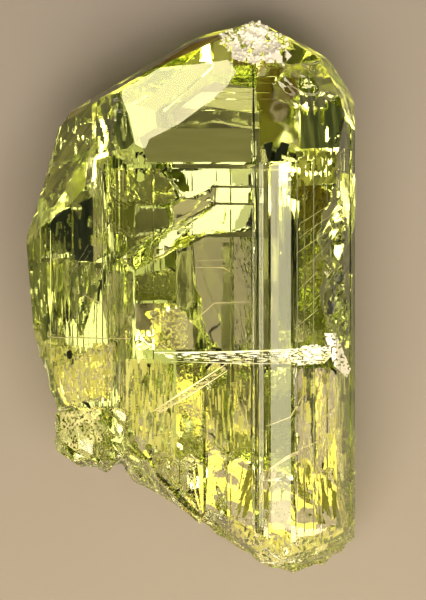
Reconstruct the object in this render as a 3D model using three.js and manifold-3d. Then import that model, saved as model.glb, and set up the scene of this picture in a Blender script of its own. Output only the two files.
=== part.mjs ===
// A gem crystal of zoisite, broken from its matrix and lying on its flat back.
//
// It is one natural solid. A lath-like prism grew along +Y, with flat, finely ribbed faces
// all round it. Its top end (+Y) is closed by a low roof of sloping faces, with a chipped
// peak right of the middle. Its foot (-Y) is broken off on a slant, and a ledge is left on
// the foot's left side. The broad front face looks up (+Z) and the back rests on z = 0.
//
// Units are millimetres. Turns run from the front (+Z) towards the right (+X), and a rise
// tips a face's outward direction from there towards the top end (+Y).

import * as THREE from "three";
import { mergeVertices } from "three/addons/utils/BufferGeometryUtils.js";
import Module from "manifold-3d";

const wasm = await Module();
wasm.setup();

// ---- Driving sizes ----

const LENGTH = 26; // peak to the lowest point of the foot
const SPARE = 1; // extra length at each end of the prism, all of it cut away later
const HALF_WIDTH = 7.72;
const THICKNESS = 8.8;
const TOOL_SIZE = 40; // a cutting block, larger than the crystal

// The prism seen from its foot: corners as [x, z], each with the ribs on the face that
// follows it. Ribs are growth steps along the prism, and depth is how far they cut in.
const SECTION = [
  { at: [-1.5, 0], ribs: 5, depth: 0.05 }, // lower left flank, inner
  { at: [-4.2, 2.2], ribs: 6, depth: 0.09 }, // lower left flank, outer
  { at: [-HALF_WIDTH, 5.5], ribs: 0, depth: 0 }, // left edge
  { at: [-HALF_WIDTH, 6.0], ribs: 4, depth: 0.06 }, // left side
  { at: [-6.2, 7.2], ribs: 6, depth: 0.06 }, // upper left flank
  { at: [-4.5, 8.2], ribs: 8, depth: 0.08 }, // left strip
  { at: [-2.96, THICKNESS], ribs: 3, depth: 0.03 }, // front
  { at: [2.87, THICKNESS], ribs: 7, depth: 0.14 }, // ribbed band
  { at: [3.71, 8.75], ribs: 1, depth: 0.02 }, // bright strip
  { at: [4.65, 8.52], ribs: 5, depth: 0.05 }, // right front
  { at: [6.77, 8.2], ribs: 3, depth: 0.05 }, // right side
  { at: [HALF_WIDTH, 5.3], ribs: 0, depth: 0 }, // right edge
  { at: [HALF_WIDTH, 3.6], ribs: 7, depth: 0.08 }, // lower right flank
  { at: [3.3, 0], ribs: 0, depth: 0 }, // back, left flat to rest on
];

// The sloping faces of the top end, each a plane through one point.
const FRONT_SLOPE = { rise: 35, turn: 0, through: [0, 6.1, THICKNESS] };
const LEFT_SHOULDER = { rise: 22, turn: -50, through: [-4.42, 5.5, 8.22] };
const TOP_FACES = [
  FRONT_SLOPE,
  { rise: 34.8, turn: 5.7, through: [2.87, 6.1, THICKNESS] }, // front slope, right half
  LEFT_SHOULDER,
  { rise: 59.6, turn: -74, through: [-1.95, 11.0, 3.2] }, // roof, left
  { rise: 61.2, turn: 71, through: [5.5, 11.82, 3.2] }, // roof, right
  { rise: 71, turn: -57, through: [2.1, 12.81, 2.8] }, // roof, broken beside the peak
  { rise: 32.5, turn: 73.4, through: [6.9, 10.85, 3] }, // right shoulder, upper
  { rise: 17.5, turn: 75.4, through: [7.47, 9.61, 4] }, // right shoulder, lower
  { rise: 28, turn: -152, through: [-3.4, 4.7, 0] }, // back slope, left
  { rise: 33, turn: 172, through: [2.8, 8.3, 0] }, // back slope, right
  { rise: 14, turn: -108.3, through: [-7.25, 5.6, 5.2] }, // left back, lower
  { rise: 36.9, turn: -116, through: [-6.2, 8.1, 4.4] }, // left back, upper
  { rise: 27, turn: 123, through: [7.4, 9.2, 3] }, // right back
];

// A slanting face that narrows the flat back towards the foot.
const BACK_TAPER = { rise: -6, turn: -143, through: [0, 2, 0] };

// Growth terraces. Each is a line on a face, from which the face is a little lower. The line
// runs along a direction, from is its distance from the face's own point, and depth the drop.
const TERRACES = [
  { face: FRONT_SLOPE, along: [1, 0, 0], from: 3.17, depth: 0.04 },
  { face: FRONT_SLOPE, along: [1, 0, 0], from: 3.85, depth: 0.09 },
  { face: FRONT_SLOPE, along: [1, 0, 0], from: 4.27, depth: 0.15 },
  { face: FRONT_SLOPE, along: [1, 0, 0], from: 4.88, depth: 0.2 },
  { face: FRONT_SLOPE, along: [1, 0, 0], from: 5.31, depth: 0.28 },
  { face: LEFT_SHOULDER, along: [0.87, 0.5, 0], from: 0.9, depth: 0.05 },
  { face: LEFT_SHOULDER, along: [0.87, 0.5, 0], from: 1.5, depth: 0.09 },
  { face: LEFT_SHOULDER, along: [0.87, 0.5, 0], from: 1.9, depth: 0.14 },
  { face: LEFT_SHOULDER, along: [0.87, 0.5, 0], from: 2.7, depth: 0.19 },
  { face: BACK_TAPER, along: [0.12, -1, 0], from: 1.3, depth: 0.05 },
  { face: BACK_TAPER, along: [0.05, -1, 0], from: 2.4, depth: 0.11 },
  { face: BACK_TAPER, along: [0, -1, 0], from: 3.1, depth: 0.16 },
  { face: BACK_TAPER, along: [-0.03, -1, 0], from: 4.6, depth: 0.2 },
];

// A plain cut that takes off the foot's corner before the rough breaks are made.
const FOOT_TRIM = { rise: -55, turn: -90, through: [0.4, -11.9, 4.4] };

// ---- Small tools ----

/** A repeatable source of numbers from 0 to 1. */
function randomFrom(seed) {
  let state = seed >>> 0;
  return () => {
    state = (state + 0x6d2b79f5) >>> 0;
    let mixed = Math.imul(state ^ (state >>> 15), 1 | state);
    mixed = (mixed + Math.imul(mixed ^ (mixed >>> 7), 61 | mixed)) ^ mixed;
    return ((mixed ^ (mixed >>> 14)) >>> 0) / 2 ** 32;
  };
}

/** The outward direction of a face given by its rise and its turn, in degrees. */
function outward(rise, turn) {
  const up = THREE.MathUtils.degToRad(rise);
  const round = THREE.MathUtils.degToRad(turn);
  return new THREE.Vector3(
    Math.cos(up) * Math.sin(round),
    Math.sin(up),
    Math.cos(up) * Math.cos(round),
  );
}

/** A geometry whose faces share their corners. */
function joined(geometry) {
  geometry.deleteAttribute("normal");
  geometry.deleteAttribute("uv");
  return mergeVertices(geometry, 1e-5);
}

/** A closed geometry with shared corners, as a solid that can be cut and joined. */
function solidOf(geometry) {
  return new wasm.Manifold(
    new wasm.Mesh({
      numProp: 3,
      vertProperties: new Float32Array(geometry.getAttribute("position").array),
      triVerts: new Uint32Array(geometry.getIndex().array),
    }),
  );
}

/** A solid as a flat-shaded geometry. */
function geometryOf(solid) {
  const { vertProperties, triVerts } = solid.getMesh();
  const geometry = new THREE.BufferGeometry();
  geometry.setAttribute("position", new THREE.BufferAttribute(vertProperties, 3));
  geometry.setIndex(new THREE.BufferAttribute(triVerts, 1));
  const flat = geometry.toNonIndexed();
  flat.computeVertexNormals();
  return flat;
}

/** A matrix that stands a block on a plane: its local Z is the way out, X lies along. */
function onPlane(through, out, along) {
  const z = out.clone().normalize();
  const x = along.clone().addScaledVector(z, -along.dot(z)).normalize();
  const y = new THREE.Vector3().crossVectors(z, x);
  return new THREE.Matrix4().makeBasis(x, y, z).setPosition(...through);
}

const ALONG_X = new THREE.Vector3(1, 0, 0);

// ---- Cutting blocks ----

/** Everything outside a flat face. */
function flatCut({ rise, turn, through }) {
  const block = joined(new THREE.BoxGeometry(TOOL_SIZE, TOOL_SIZE, TOOL_SIZE));
  block.translate(0, 0, TOOL_SIZE / 2);
  const out = outward(rise, turn);
  const along = Math.abs(out.x) < 0.9 ? ALONG_X : new THREE.Vector3(0, 1, 0);
  return solidOf(block.applyMatrix4(onPlane(through, out, along)));
}

/** Everything above a face, less the terrace's depth, on the far side of its line. */
function terraceCut({ face, along, from, depth }) {
  const block = joined(new THREE.BoxGeometry(TOOL_SIZE, TOOL_SIZE, TOOL_SIZE));
  block.translate(0, TOOL_SIZE / 2 + from, TOOL_SIZE / 2 - depth);
  const out = outward(face.rise, face.turn);
  return solidOf(block.applyMatrix4(onPlane(face.through, out, new THREE.Vector3(...along))));
}

/**
 * A block with a rough underside, to break a piece of the crystal away. The break passes
 * through a point, faces a direction, and is as wide as its run along and across. bow
 * curves it like a shell, and rough is the height of its small facets.
 */
function roughCut({ through, out, along, size, cell, rough, bow = 0, seed }) {
  const [width, depth] = size;
  const across = Math.round(width / cell);
  const down = Math.round(depth / cell);
  const block = joined(
    new THREE.BoxGeometry(width, depth, TOOL_SIZE, across, down, 1),
  );
  block.translate(0, 0, TOOL_SIZE / 2);
  const random = randomFrom(seed);
  const points = block.getAttribute("position");
  for (let i = 0; i < points.count; i += 1) {
    if (points.getZ(i) > TOOL_SIZE / 2) continue;
    const x = points.getX(i);
    const y = points.getY(i);
    const onRim = Math.abs(x) > 0.499 * width || Math.abs(y) > 0.499 * depth;
    const slide = onRim ? 0 : 0.6 * cell;
    const wave = Math.sin((0.5 * x) / cell + seed) * Math.cos((0.35 * y) / cell + 2 * seed);
    const shell = 4 * bow * ((x / width) ** 2 + (y / depth) ** 2);
    points.setXYZ(
      i,
      x + slide * (random() - 0.5),
      y + slide * (random() - 0.5),
      rough * (random() - 0.5 + 0.6 * wave) - shell,
    );
  }
  const placed = block.applyMatrix4(
    onPlane(through, new THREE.Vector3(...out), new THREE.Vector3(...along)),
  );
  return solidOf(placed);
}

// ---- The prism ----

/** The points of one prism face, stepped in and out by its ribs. */
function ribbedFace(start, end, ribs, depth, random) {
  const from = new THREE.Vector2(...start);
  const to = new THREE.Vector2(...end);
  const run = to.clone().sub(from);
  const inward = new THREE.Vector2(run.y, -run.x).normalize();
  const points = [from];
  let level = 0;
  for (let rib = 1; rib <= ribs; rib += 1) {
    const middle = (rib + 0.7 * (random() - 0.5)) / (ribs + 1);
    const ramp = Math.min(0.12 / (ribs + 1), 0.03 / run.length());
    const next = rib === ribs ? 0 : depth * random();
    const slant = depth * 0.25 * (random() - 0.5);
    const leave = from.clone().addScaledVector(run, middle - ramp);
    const arrive = from.clone().addScaledVector(run, middle + ramp);
    points.push(leave.addScaledVector(inward, Math.max(0, level + slant)));
    points.push(arrive.addScaledVector(inward, next));
    level = next;
  }
  return points;
}

/** The whole prism, before its ends are made. */
function prism() {
  const random = randomFrom(41);
  const outline = SECTION.flatMap(({ at, ribs, depth }, i) => {
    const next = SECTION[(i + 1) % SECTION.length].at;
    return ribbedFace(at, next, ribs, depth, random);
  });
  const shape = new THREE.Shape(outline);
  const blank = joined(
    new THREE.ExtrudeGeometry(shape, { depth: LENGTH + 2 * SPARE, bevelEnabled: false }),
  );
  blank.rotateX(Math.PI / 2);
  blank.translate(0, LENGTH / 2 + SPARE, 0);
  return solidOf(blank);
}

// ---- Breaks ----

// The rough breaks, in the order they are made. Each lists what roughCut takes.
const BREAKS = [
  // The foot: a front half in two lengths, and a back half that slants under the crystal.
  { through: [-1.45, -9.45, 4.4], out: [-0.64, -0.75, 0.12], along: [0.76, -0.65, 0],
    size: [5.2, 13], cell: 0.5, rough: 0.4, bow: 0.15, seed: 3 },
  { through: [2.7, -12.1, 4.4], out: [-0.45, -0.86, 0.22], along: [0.885, -0.465, 0],
    size: [5.4, 13], cell: 0.5, rough: 0.4, bow: 0.1, seed: 4 },
  { through: [0.72, -11.05, 4.4], out: [-0.33, -0.58, -0.74], along: [0.82, -0.57, 0],
    size: [12.4, 18], cell: 0.55, rough: 0.07, bow: 0.1, seed: 8 },
  // The foot's right corner.
  { through: [6.2, -12.15, 4.4], out: [0.44, -0.86, 0.25], along: [0.89, 0.46, 0],
    size: [5.2, 13], cell: 0.5, rough: 0.35, bow: 0.15, seed: 5 },
  { through: [7.6, -11.0, 5], out: [0.93, -0.3, 0.2], along: [0.31, 0.95, 0],
    size: [3, 11], cell: 0.7, rough: 0.15, seed: 6 },
  // The ledge left of the foot: its end, its side and its top.
  { through: [-5.9, -8.0, 6], out: [0, -0.97, 0.2], along: [1, 0, 0],
    size: [5.6, 11], cell: 0.45, rough: 0.35, bow: 0.15, seed: 14 },
  { through: [-6.4, -6.7, 6], out: [-0.98, -0.06, 0.15], along: [0, 1, 0],
    size: [4.2, 11], cell: 0.45, rough: 0.25, bow: 0.1, seed: 15 },
  { through: [-5.1, -7.1, 7.25], out: [-0.45, -0.08, 0.88], along: [1, 0, 0],
    size: [5.0, 4.0], cell: 0.42, rough: 0.35, seed: 16 },
  // The left side below the middle.
  { through: [-7.0, -2.7, 6.4], out: [-0.81, -0.3, 0.5], along: [0.33, -0.94, 0],
    size: [5.6, 9], cell: 0.45, rough: 0.3, bow: 0.1, seed: 12 },
  // The chipped peak.
  { through: [3.2, 11.95, 4.0], out: [0.02, 0.7, 0.71], along: [1, 0, 0],
    size: [5.2, 3.6], cell: 0.3, rough: 0.24, bow: -0.35, seed: 21 },
  // A shell-shaped chip under the peak, on its right.
  { through: [4.75, 9.9, 5.45], out: [0.22, 0.5, 0.84], along: [1, 0, 0],
    size: [4.4, 4.4], cell: 0.36, rough: 0.08, bow: -0.9, seed: 24 },
  // Etched pits along the right edge.
  { through: [6.8, 3.0, 7.0], out: [0.55, 0.05, 0.83], along: [0, 1, 0],
    size: [4.4, 3.6], cell: 0.33, rough: 0.35, bow: -1.0, seed: 31 },
  { through: [6.9, -0.2, 6.7], out: [0.65, -0.05, 0.76], along: [0, 1, 0],
    size: [4.8, 3.8], cell: 0.35, rough: 0.4, bow: -1.0, seed: 32 },
];

/** The whole crystal: the prism, closed at its top end and then broken. */
function crystal() {
  let solid = prism();
  for (const face of TOP_FACES) solid = solid.subtract(flatCut(face));
  solid = solid.subtract(flatCut(BACK_TAPER)).subtract(flatCut(FOOT_TRIM));
  for (const terrace of TERRACES) solid = solid.subtract(terraceCut(terrace));
  for (const broken of BREAKS) solid = solid.subtract(roughCut(broken));
  return solid;
}

// ---- The specimen, centred over the origin and resting on z = 0 ----

const material = new THREE.MeshStandardMaterial({
  name: "zoisite",
  color: new THREE.Color(0.72, 0.74, 0.3),
  roughness: 0.05,
  metalness: 0,
});

const geometry = geometryOf(crystal());
geometry.computeBoundingBox();
const middle = geometry.boundingBox.getCenter(new THREE.Vector3());
geometry.translate(-middle.x, -middle.y, 0);

const mesh = new THREE.Mesh(geometry, material);
mesh.name = "zoisite_crystal";

const specimen = new THREE.Group();
specimen.add(mesh);

export default specimen;
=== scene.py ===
"""A clear yellow-green zoisite crystal that lies on its flat back, on a pale floor.

The script's unit is the millimetre, in the frame of the CAD solid: +Y runs along the prism
towards its chipped top end, and +Z out of its broad front face. Lengths are turned into
metres by MM where a mesh or a material is made. The floor, the lights and the camera are
placed in metres.
"""

import logging
import math
from collections.abc import Iterable
from dataclasses import dataclass, field
from enum import Enum

import bmesh
import bpy
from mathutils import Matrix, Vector, geometry, noise
from mathutils.bvhtree import BVHTree


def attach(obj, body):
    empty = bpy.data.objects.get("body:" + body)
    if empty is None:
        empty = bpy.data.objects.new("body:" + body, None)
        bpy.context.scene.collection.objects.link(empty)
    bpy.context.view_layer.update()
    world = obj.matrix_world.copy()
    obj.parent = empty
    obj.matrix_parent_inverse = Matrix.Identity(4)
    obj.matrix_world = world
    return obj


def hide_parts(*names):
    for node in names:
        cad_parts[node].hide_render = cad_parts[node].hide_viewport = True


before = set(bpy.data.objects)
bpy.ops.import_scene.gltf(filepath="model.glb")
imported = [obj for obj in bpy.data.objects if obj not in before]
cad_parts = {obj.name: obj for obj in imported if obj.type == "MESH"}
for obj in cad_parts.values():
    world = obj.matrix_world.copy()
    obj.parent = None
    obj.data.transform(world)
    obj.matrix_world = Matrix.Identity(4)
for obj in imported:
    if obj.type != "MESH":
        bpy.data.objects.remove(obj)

logging.basicConfig(level=logging.INFO, format="%(message)s")
log = logging.getLogger("zoisite")

MM = 0.001
NOISE_SEED = 1
Point = tuple[float, float, float]
Flat = tuple[float, float]
Colour = tuple[float, float, float]


class FaceLayer(Enum):
    """The values that each face of the crystal carries, by the name of their attribute.

    FROST is the face's roughness, and RIBS how much of the finest growth ribbing it shows.
    """

    FROST = "frost"
    RIBS = "ribs"


# ---- Finishes ----


@dataclass(frozen=True)
class CrystalFinish:
    """Transparent zoisite, one material for faces, breaks and cracks.

    Args:
        name: the material's name.
        ior: refractive index.
        passes: colour that the body lets through, with density per metre.
        density: how strongly it absorbs the rest.
        rib_height: height of the finest ribs, in metres.
        ribs_per_metre: how closely they stand along X, Y and Z.
        rib_detail: octaves of the noise that makes them.
    """

    name: str = "zoisite"
    ior: float = 1.69
    passes: Colour = (0.885, 0.96, 0.4)
    density: float = 100.0
    rib_height: float = 0.000004
    ribs_per_metre: Point = (5000, 45, 5000)
    rib_detail: float = 2.0

    def material(self) -> bpy.types.Material:
        """Builds the material.

        Returns:
            The new material.
        """
        made = bpy.data.materials.new(self.name)
        made.use_nodes = True
        tree = made.node_tree
        shader = tree.nodes["Principled BSDF"]
        shader.inputs["Base Color"].default_value = (1, 1, 1, 1)
        shader.inputs["IOR"].default_value = self.ior
        shader.inputs["Transmission Weight"].default_value = 1.0
        tree.links.new(self._read(tree, FaceLayer.FROST), shader.inputs["Roughness"])
        body = tree.nodes.new("ShaderNodeVolumeAbsorption")
        body.inputs["Color"].default_value = (*self.passes, 1)
        body.inputs["Density"].default_value = self.density
        tree.links.new(body.outputs["Volume"], tree.nodes["Material Output"].inputs["Volume"])
        self._add_ribs(tree, shader)
        return made

    @staticmethod
    def _read(tree: bpy.types.NodeTree, layer: FaceLayer) -> bpy.types.NodeSocket:
        """Reads one of the values that the faces carry.

        Args:
            tree: the material's node tree.
            layer: the value to read.

        Returns:
            The socket that gives it.
        """
        reader = tree.nodes.new("ShaderNodeAttribute")
        reader.attribute_name = layer.value
        return reader.outputs["Fac"]

    def _add_ribs(self, tree: bpy.types.NodeTree, shader: bpy.types.Node) -> None:
        """Adds the finest ribs, which run along Y, as bump.

        Args:
            tree: the material's node tree.
            shader: the surface shader that takes the bump.
        """
        place = tree.nodes.new("ShaderNodeTexCoord")
        stretch = tree.nodes.new("ShaderNodeMapping")
        stretch.inputs["Scale"].default_value = self.ribs_per_metre
        grain = tree.nodes.new("ShaderNodeTexNoise")
        grain.inputs["Scale"].default_value = 1.0
        grain.inputs["Detail"].default_value = self.rib_detail
        bump = tree.nodes.new("ShaderNodeBump")
        bump.inputs["Distance"].default_value = self.rib_height
        tree.links.new(place.outputs["Object"], stretch.inputs["Vector"])
        tree.links.new(stretch.outputs["Vector"], grain.inputs["Vector"])
        tree.links.new(grain.outputs["Fac"], bump.inputs["Height"])
        tree.links.new(self._read(tree, FaceLayer.RIBS), bump.inputs["Strength"])
        tree.links.new(bump.outputs["Normal"], shader.inputs["Normal"])


@dataclass(frozen=True)
class Streaks:
    """A second colour, in streaks over the first.

    Args:
        colour: the streaks' colour.
        turn: their direction in degrees, from +Y towards -X.
        width: how wide a streak is, in millimetres.
        length: how long it is, in millimetres.
        detail: octaves of the noise that makes them.
        edge: the noise values between which one colour turns into the other.
    """

    colour: Colour
    turn: float = 0.0
    width: float = 0.2
    length: float = 1.5
    detail: float = 4.0
    edge: Flat = (0.4, 0.6)

    def mixed_with(self, colour: Colour, tree: bpy.types.NodeTree) -> bpy.types.NodeSocket:
        """Adds the nodes that lay the streaks over another colour.

        Args:
            colour: the colour under the streaks.
            tree: the material's node tree.

        Returns:
            The socket that gives the mixed colour.
        """
        add, link = tree.nodes.new, tree.links.new
        place, turn = add("ShaderNodeTexCoord"), add("ShaderNodeMapping")
        spots, edge, mix = add("ShaderNodeTexNoise"), add("ShaderNodeMapRange"), add("ShaderNodeMix")
        turn.vector_type = "TEXTURE"
        turn.inputs["Rotation"].default_value[2] = math.radians(self.turn)
        # A wave of the noise is a streak and the space beside it, so it is twice as wide.
        across, along = 2 * self.width * MM, 2 * self.length * MM
        turn.inputs["Scale"].default_value = (across, along, along)
        spots.inputs["Scale"].default_value = 1.0
        spots.inputs["Detail"].default_value = self.detail
        edge.inputs["From Min"].default_value, edge.inputs["From Max"].default_value = self.edge
        mix.data_type = "RGBA"
        mix.inputs["A"].default_value = (*colour, 1)
        mix.inputs["B"].default_value = (*self.colour, 1)
        link(place.outputs["Object"], turn.inputs["Vector"])
        link(turn.outputs["Vector"], spots.inputs["Vector"])
        link(spots.outputs["Fac"], edge.inputs["Value"])
        link(edge.outputs["Result"], mix.inputs["Factor"])
        return mix.outputs["Result"]


@dataclass(frozen=True)
class PlainFinish:
    """An opaque surface.

    Args:
        name: the material's name.
        colour: base colour.
        roughness: from 0, a mirror, to 1, chalk.
        shine: specular level.
        streaks: a second colour over the first, if there is one.
    """

    name: str
    colour: Colour
    roughness: float
    shine: float = 0.5
    streaks: Streaks | None = None

    def material(self) -> bpy.types.Material:
        """Builds the material.

        Returns:
            The new material.
        """
        made = bpy.data.materials.new(self.name)
        made.use_nodes = True
        tree = made.node_tree
        shader = tree.nodes["Principled BSDF"]
        shader.inputs["Base Color"].default_value = (*self.colour, 1)
        shader.inputs["Roughness"].default_value = self.roughness
        shader.inputs["Specular IOR Level"].default_value = self.shine
        if self.streaks:
            tree.links.new(self.streaks.mixed_with(self.colour, tree), shader.inputs["Base Color"])
        return made


# Dark needles and flecks, and painted shade: some dark films stand where the clear crystal only
# looks dark.
GRAPHITE_AND_SHADE = PlainFinish("graphite_and_painted_shade", (0.02, 0.033, 0.012), 0.5, 0.2)
# Painted shade: dark green, with lighter streaks, where the clear crystal only looks dark.
DARK_GREEN_SHADE = PlainFinish("painted_dark_green_shade", (0.09, 0.13, 0.035), 0.5, 0.2, Streaks((0.3, 0.36, 0.1), 5, 0.12))
# Painted shade: olive, with lighter streaks, where the clear crystal looks darker.
OLIVE_SHADE = PlainFinish("painted_olive_shade", (0.2, 0.24, 0.03), 0.5, 0.2, Streaks((0.5, 0.55, 0.1), -35, 0.12))
# Painted shade: a gold brown band along the upper left edge, with lighter streaks.
EDGE_SHADE = PlainFinish("edge", (0.3, 0.21, 0.04), 0.5, 0.2, Streaks((0.5, 0.48, 0.16), -60, 0.1))
# Painted shade: a flat grey green below the terrace, with streaks.
GREY_GREEN_SHADE = PlainFinish("painted_grey_green_shade", (0.43, 0.46, 0.17), 0.5, 0.2, Streaks((0.48, 0.51, 0.2), 90))
# Painted light: the bright golden glow of the foot and of the glitter, with brighter streaks.
GOLDEN_GLOW = PlainFinish("painted_golden_glow", (0.85, 0.87, 0.2), 0.4, 0.3, Streaks((0.97, 1.0, 0.42), 0, 0.1))
LEDGE = PlainFinish(
    "ledge", (0.36, 0.37, 0.18), 0.4, 0.4, Streaks((0.54, 0.54, 0.3), 0, 0.15, 0.25)
)
PALE = PlainFinish("pale_film", (0.92, 0.88, 0.6), 0.6, 0.3)
HEALED = PlainFinish(
    "healed", (0.88, 0.97, 0.9), 0.3, 0.5, Streaks((0.6, 0.62, 0.35), 90, 0.12, 0.3)
)
WHITE = PlainFinish("white", (0.97, 0.97, 0.92), 0.3, 0.5)
SUGAR = PlainFinish("sugar", (0.97, 0.97, 0.92), 0.2, 0.8)
RUST = PlainFinish("rust", (0.42, 0.22, 0.05), 0.7, 0.3)
# Crumbs in the crystal's yellow, painted brighter as the glow of the broken foot.
HONEY_GLOW = PlainFinish("honey_painted_glow", (1.0, 0.9, 0.42), 0.2, 0.8)
FLOOR = PlainFinish("floor", (0.26, 0.243, 0.25), 0.9, 0.1)


# ---- Shared geometry ----

# The corners inside an outline stand on a grid. Its step is a share of the longest edge. Its
# start, the stagger of every other column and a corner's stray are shares of the step.
GRID_STEP = 0.8
GRID_START = (0.7, 0.45)
GRID_STAGGER = 0.5
GRID_STRAY = 0.4
STRAY_PER_MM = 3.1
MERGE_WITHIN = 1e-5
ONLY_INSIDE = 1


def small_triangles(outline: tuple[Flat, ...], fine: float) -> tuple[list[Vector], list[list[int]]]:
    """Cuts a flat outline into small, slightly uneven triangles.

    Args:
        outline: its corners, in millimetres.
        fine: about the longest edge, in millimetres.

    Returns:
        The corners of the triangles, and each triangle's three corners by index.
    """
    corners = [Vector(p) for p in outline]
    rim = []
    for start, end in zip(corners, corners[1:] + corners[:1]):
        steps = math.ceil((end - start).length / fine)
        rim += [start + (end - start) * i / steps for i in range(steps)]
    low = Vector((min(c.x for c in corners), min(c.y for c in corners)))
    high = Vector((max(c.x for c in corners), max(c.y for c in corners)))
    step = fine * GRID_STEP
    inner = []
    for i in range(int((high.x - low.x) / step)):
        for j in range(int((high.y - low.y) / step)):
            across, along = i + GRID_START[0], j + GRID_START[1] + GRID_STAGGER * (i % 2)
            place = low + Vector((across, along)) * step
            uneven = noise.noise_vector((place * STRAY_PER_MM).to_3d()).xy
            inner.append(place + uneven * step * GRID_STRAY)
    ring = [(i, (i + 1) % len(rim)) for i in range(len(rim))]
    cut = geometry.delaunay_2d_cdt(rim + inner, ring, [], ONLY_INSIDE, MERGE_WITHIN)
    flat, _, tris, *_ = cut
    return flat, tris


def unevenness(place: Vector, coarse: float, fine: float, share: float) -> float:
    """Finds the unevenness at a place, which is coarse noise with finer noise on it.

    Args:
        place: the place, in millimetres.
        coarse: how many coarse bumps there are to a millimetre.
        fine: how many fine ones there are.
        share: how high the fine ones stand beside the coarse ones.

    Returns:
        A height from 0 to about 1.
    """
    return abs(noise.noise(place * coarse) + share * noise.noise(place * fine))


def lies_within(body: BVHTree, point: Vector, margin: float) -> bool:
    """Whether a point is inside a closed surface, at least a margin below it.

    Args:
        body: the surface.
        point: the point to test.
        margin: the least distance to the surface.

    Returns:
        True if it is inside.
    """
    nearest, normal, _, distance = body.find_nearest(point)
    return distance > margin and (point - nearest).dot(normal) < 0


def as_data(mesh: bmesh.types.BMesh, name: str) -> bpy.types.Mesh:
    """Turns an edited mesh into one that a piece can have, and frees it.

    Args:
        mesh: the edited mesh.
        name: the new mesh's name.

    Returns:
        The new mesh.
    """
    data = bpy.data.meshes.new(name)
    mesh.to_mesh(data)
    mesh.free()
    return data


def applied(base: bpy.types.Object) -> bpy.types.Mesh:
    """Makes a plain mesh of an object with its modifiers.

    Args:
        base: the object, which is in the scene.

    Returns:
        The mesh.
    """
    bpy.context.view_layer.update()
    shown = base.evaluated_get(bpy.context.evaluated_depsgraph_get())
    return bpy.data.meshes.new_from_object(shown)


def riding(name: str, data: bpy.types.Mesh) -> bpy.types.Object:
    """Puts a mesh in the scene as a piece that rides on the crystal's body.

    Args:
        name: the piece's name.
        data: its mesh.

    Returns:
        The piece.
    """
    piece = bpy.data.objects.new(name, data)
    bpy.context.scene.collection.objects.link(piece)
    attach(piece, "root")
    log.info("%s: %d faces", name, len(data.polygons))
    return piece


# ---- Cracks inside the crystal ----

# Each crack cuts the noise at a level of its own, and its bends cut it higher up.
LEVELS_PER_MM = 7.7
BENDS_ABOVE = 9


@dataclass(frozen=True)
class Walls:
    """The look of a crack's two walls, which are ridged.

    Args:
        turn: the ridges' direction in degrees, from +X towards +Y.
        spacing: distance between ridges, in millimetres.
        length: how long a ridge is, in millimetres.
        height: how high it stands, in millimetres.
        wave: how far the walls bend, in millimetres.
        ribs: how strongly the finest growth ribs show on them.
        frost: their roughness.
    """

    turn: float
    spacing: float
    length: float
    height: float
    wave: float
    ribs: float
    frost: float = 0.0


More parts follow.
